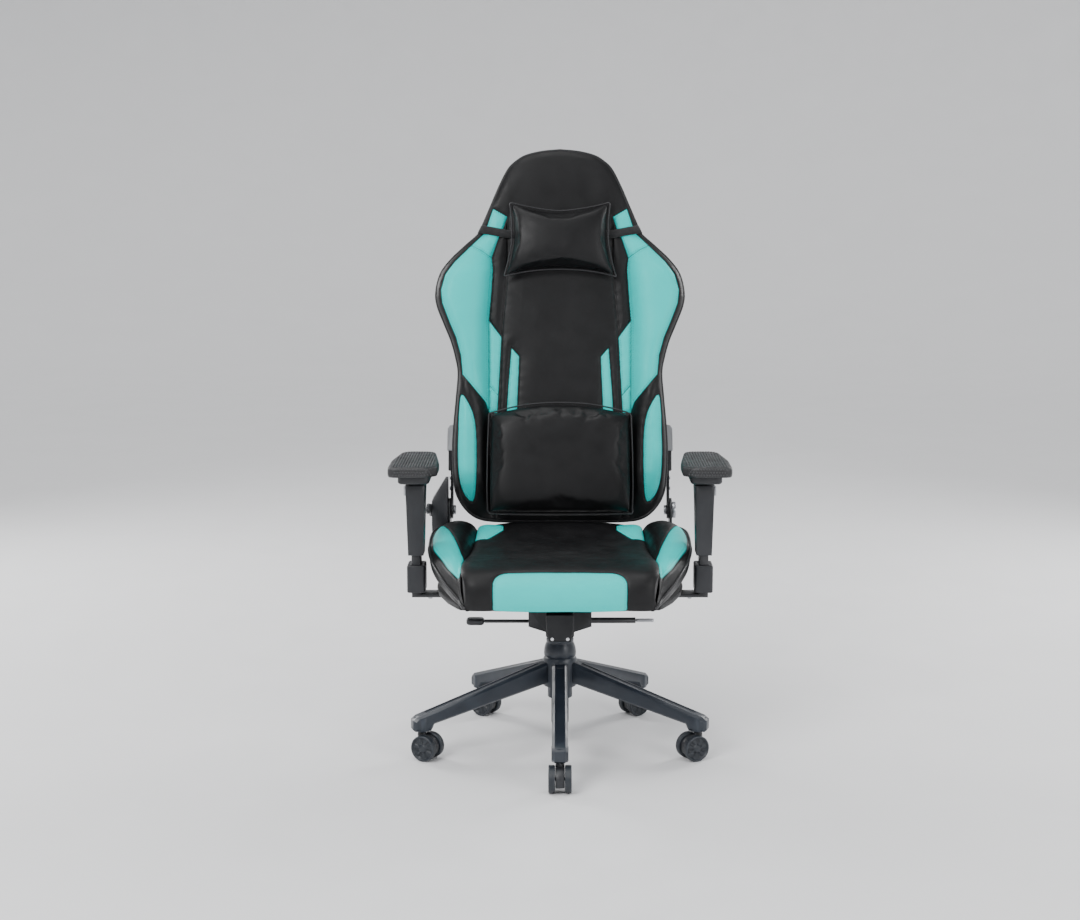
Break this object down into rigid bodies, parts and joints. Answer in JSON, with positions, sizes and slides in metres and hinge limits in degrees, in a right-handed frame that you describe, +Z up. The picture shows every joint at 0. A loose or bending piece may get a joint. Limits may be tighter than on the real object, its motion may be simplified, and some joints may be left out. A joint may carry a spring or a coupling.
{
  "type": "gaming chair",
  "caption": "High-back gaming chair on a five-leg caster base, with gas lift, tilt mechanism, adjustable armrests, reclining bucket back and head and lumbar pillows.",
  "frame": {"origin": "on the floor, under the middle of the chair's outline", "axes": "+Z up; the chair faces -Y, with the sitter's left hand towards +X"},
  "size_m": [0.734, 0.7783, 1.3222],
  "materials": {
    "satin_base": "satin dark blue-black moulded nylon",
    "wheel_nylon": "dull black moulded nylon",
    "black_nylon": "dull black moulded nylon",
    "black_paint": "satin black powder coat",
    "black_leather": "black grained synthetic leather over foam",
    "turquoise_leather": "bright turquoise synthetic leather over foam",
    "webbing": "black woven elastic",
    "base_fabric": "black spun-bonded base cloth over a board",
    "chrome": "bright plated",
    "steel": "plain zinc-plated steel",
    "soft_pad": "dull black soft-touch skin"
  },
  "bodies": {
    "base": {"star_base": "satin_base", "gas_tube": "black_paint", "dust_cover": "black_nylon"},
    "caster_1": {"caster_housing_1": "black_nylon"},
    "wheel_1_left": {"caster_wheel_1_left": "wheel_nylon"},
    "wheel_1_right": {"caster_wheel_1_right": "wheel_nylon"},
    "caster_2": {"caster_housing_2": "black_nylon"},
    "wheel_2_left": {"caster_wheel_2_left": "wheel_nylon"},
    "wheel_2_right": {"caster_wheel_2_right": "wheel_nylon"},
    "caster_3": {"caster_housing_3": "black_nylon"},
    "wheel_3_left": {"caster_wheel_3_left": "wheel_nylon"},
    "wheel_3_right": {"caster_wheel_3_right": "wheel_nylon"},
    "caster_4": {"caster_housing_4": "black_nylon"},
    "wheel_4_left": {"caster_wheel_4_left": "wheel_nylon"},
    "wheel_4_right": {"caster_wheel_4_right": "wheel_nylon"},
    "caster_5": {"caster_housing_5": "black_nylon"},
    "wheel_5_left": {"caster_wheel_5_left": "wheel_nylon"},
    "wheel_5_right": {"caster_wheel_5_right": "wheel_nylon"},
    "piston": {"gas_piston": "chrome"},
    "mechanism": {"tilt_housing": "black_paint", "tilt_spring": "steel"},
    "tension_knob": {"tension_knob": "black_nylon"},
    "height_lever": {"height_lever": "black_paint", "height_lever_grip": "black_nylon"},
    "lock_lever": {"lock_lever": "black_paint", "lock_lever_grip": "chrome"},
    "seat": {"seat_plate": "black_paint", "seat_pan": "base_fabric", "seat_cushion": "black_leather", "seat_bolster_left": "black_leather", "seat_bolster_right": "black_leather", "arm_bracket_left": "black_paint", "arm_collar_left": "black_nylon", "recliner_lower_left": "black_paint", "recliner_pin_left": "steel", "arm_bracket_right": "black_paint", "arm_collar_right": "black_nylon", "recliner_lower_right": "black_paint", "recliner_pin_right": "steel", "recliner_cover": "black_nylon", "recliner_spring": "steel"},
    "recline_lever": {"recline_lever": "black_nylon"},
    "backrest": {"back_shell": "black_leather", "back_frame": "steel", "back_cushion": "black_leather", "back_wing_left": "turquoise_leather", "back_wing_right": "turquoise_leather", "recliner_upper_left": "black_paint", "recliner_upper_right": "black_paint", "head_strap": "webbing", "head_pillow": "black_leather", "lumbar_pillow": "black_leather"},
    "arm_left": {"arm_sleeve_left": "black_nylon"},
    "arm_button_left": {"arm_button_left": "black_nylon"},
    "arm_swivel_left": {"arm_pad_base_left": "black_nylon"},
    "arm_pad_left": {"arm_pad_left": "soft_pad"},
    "arm_right": {"arm_sleeve_right": "black_nylon"},
    "arm_button_right": {"arm_button_right": "black_nylon"},
    "arm_swivel_right": {"arm_pad_base_right": "black_nylon"},
    "arm_pad_right": {"arm_pad_right": "soft_pad"}
  },
  "joints": [
    {"name": "caster_swivel_1", "type": "hinge", "parent": "base", "child": "caster_1", "pos_m": [0, -0.343, 0.063], "axis": [0, 0, 1], "continuous": true},
    {"name": "wheel_spin_1_left", "type": "hinge", "parent": "caster_1", "child": "wheel_1_left", "pos_m": [0, -0.357, 0.029], "axis": [1, 0, 0], "continuous": true},
    {"name": "wheel_spin_1_right", "type": "hinge", "parent": "caster_1", "child": "wheel_1_right", "pos_m": [0, -0.357, 0.029], "axis": [1, 0, 0], "continuous": true},
    {"name": "caster_swivel_2", "type": "hinge", "parent": "base", "child": "caster_2", "pos_m": [0.30244, -0.12327, 0.063], "axis": [0, 0, 1], "continuous": true},
    {"name": "wheel_spin_2_left", "type": "hinge", "parent": "caster_2", "child": "wheel_2_left", "pos_m": [0.28996, -0.12962, 0.029], "axis": [0.454, -0.891, 0], "continuous": true},
    {"name": "wheel_spin_2_right", "type": "hinge", "parent": "caster_2", "child": "wheel_2_right", "pos_m": [0.28996, -0.12962, 0.029], "axis": [0.454, -0.891, 0], "continuous": true},
    {"name": "caster_swivel_3", "type": "hinge", "parent": "base", "child": "caster_3", "pos_m": [0.18692, 0.23227, 0.063], "axis": [0, 0, 1], "continuous": true},
    {"name": "wheel_spin_3_left", "type": "hinge", "parent": "caster_3", "child": "wheel_3_left", "pos_m": [0.17545, 0.22424, 0.029], "axis": [0.5736, -0.8192, 0], "continuous": true},
    {"name": "wheel_spin_3_right", "type": "hinge", "parent": "caster_3", "child": "wheel_3_right", "pos_m": [0.17545, 0.22424, 0.029], "axis": [0.5736, -0.8192, 0], "continuous": true},
    {"name": "caster_swivel_4", "type": "hinge", "parent": "base", "child": "caster_4", "pos_m": [-0.18692, 0.23227, 0.063], "axis": [0, 0, 1], "continuous": true},
    {"name": "wheel_spin_4_left", "type": "hinge", "parent": "caster_4", "child": "wheel_4_left", "pos_m": [-0.17545, 0.22424, 0.029], "axis": [0.5736, 0.8192, 0], "continuous": true},
    {"name": "wheel_spin_4_right", "type": "hinge", "parent": "caster_4", "child": "wheel_4_right", "pos_m": [-0.17545, 0.22424, 0.029], "axis": [0.5736, 0.8192, 0], "continuous": true},
    {"name": "caster_swivel_5", "type": "hinge", "parent": "base", "child": "caster_5", "pos_m": [-0.30244, -0.12327, 0.063], "axis": [0, 0, 1], "continuous": true},
    {"name": "wheel_spin_5_left", "type": "hinge", "parent": "caster_5", "child": "wheel_5_left", "pos_m": [-0.28996, -0.12962, 0.029], "axis": [0.454, 0.891, 0], "continuous": true},
    {"name": "wheel_spin_5_right", "type": "hinge", "parent": "caster_5", "child": "wheel_5_right", "pos_m": [-0.28996, -0.12962, 0.029], "axis": [0.454, 0.891, 0], "continuous": true},
    {"name": "gas_lift", "type": "slide", "parent": "base", "child": "piston", "axis": [0, 0, 1], "range_m": [0, 0.08]},
    {"name": "seat_swivel", "type": "hinge", "parent": "piston", "child": "mechanism", "pos_m": [0, -0.025, 0.28], "axis": [0, 0, 1], "continuous": true},
    {"name": "seat_tilt", "type": "hinge", "parent": "mechanism", "child": "seat", "pos_m": [0, -0.075, 0.334], "axis": [-1, 0, 0], "range_deg": [0, 12], "stiffness_Nm_per_rad": 260, "springref_deg": -17.19},
    {"name": "tension_knob_turn", "type": "hinge", "parent": "mechanism", "child": "tension_knob", "pos_m": [0, 0.041, 0.256], "axis": [0, 0, 1], "continuous": true},
    {"name": "height_lever_lift", "type": "hinge", "parent": "mechanism", "child": "height_lever", "pos_m": [-0.0703, -0.025, 0.2892], "axis": [0, 1, 0], "range_deg": [0, 8], "stiffness_Nm_per_rad": 1.2, "springref_deg": -20.05},
    {"name": "lock_lever_pull", "type": "slide", "parent": "mechanism", "child": "lock_lever", "axis": [1, 0, 0], "range_m": [0, 0.012]},
    {"name": "recline", "type": "hinge", "parent": "seat", "child": "backrest", "pos_m": [0, 0.17999, 0.49949], "axis": [-1, 0, 0], "range_deg": [-5, 60]},
    {"name": "recline_lever_lift", "type": "hinge", "parent": "seat", "child": "recline_lever", "pos_m": [-0.2984, 0.17999, 0.49949], "axis": [-1, 0, 0], "range_deg": [0, 25], "stiffness_Nm_per_rad": 0.6, "springref_deg": -28.65},
    {"name": "arm_height_left", "type": "slide", "parent": "seat", "child": "arm_left", "axis": [0, 0, 1], "range_m": [-0.018, 0.055]},
    {"name": "arm_button_press_left", "type": "slide", "parent": "arm_left", "child": "arm_button_left", "axis": [-1, 0, 0], "range_m": [0, 0.003], "stiffness_N_per_m": 400, "springref_m": -0.003},
    {"name": "arm_swivel_left", "type": "hinge", "parent": "arm_left", "child": "arm_swivel_left", "pos_m": [0.314, -0.065, 0.602], "axis": [0, 0, 1], "range_deg": [-25, 25]},
    {"name": "arm_pad_slide_left", "type": "slide", "parent": "arm_swivel_left", "child": "arm_pad_left", "axis": [0, 1, 0], "range_m": [-0.025, 0.025]},
    {"name": "arm_height_right", "type": "slide", "parent": "seat", "child": "arm_right", "axis": [0, 0, 1], "range_m": [-0.018, 0.055]},
    {"name": "arm_button_press_right", "type": "slide", "parent": "arm_right", "child": "arm_button_right", "axis": [1, 0, 0], "range_m": [0, 0.003], "stiffness_N_per_m": 400, "springref_m": -0.003},
    {"name": "arm_swivel_right", "type": "hinge", "parent": "arm_right", "child": "arm_swivel_right", "pos_m": [-0.314, -0.065, 0.602], "axis": [0, 0, 1], "range_deg": [-25, 25]},
    {"name": "arm_pad_slide_right", "type": "slide", "parent": "arm_swivel_right", "child": "arm_pad_right", "axis": [0, 1, 0], "range_m": [-0.025, 0.025]}
  ]
}
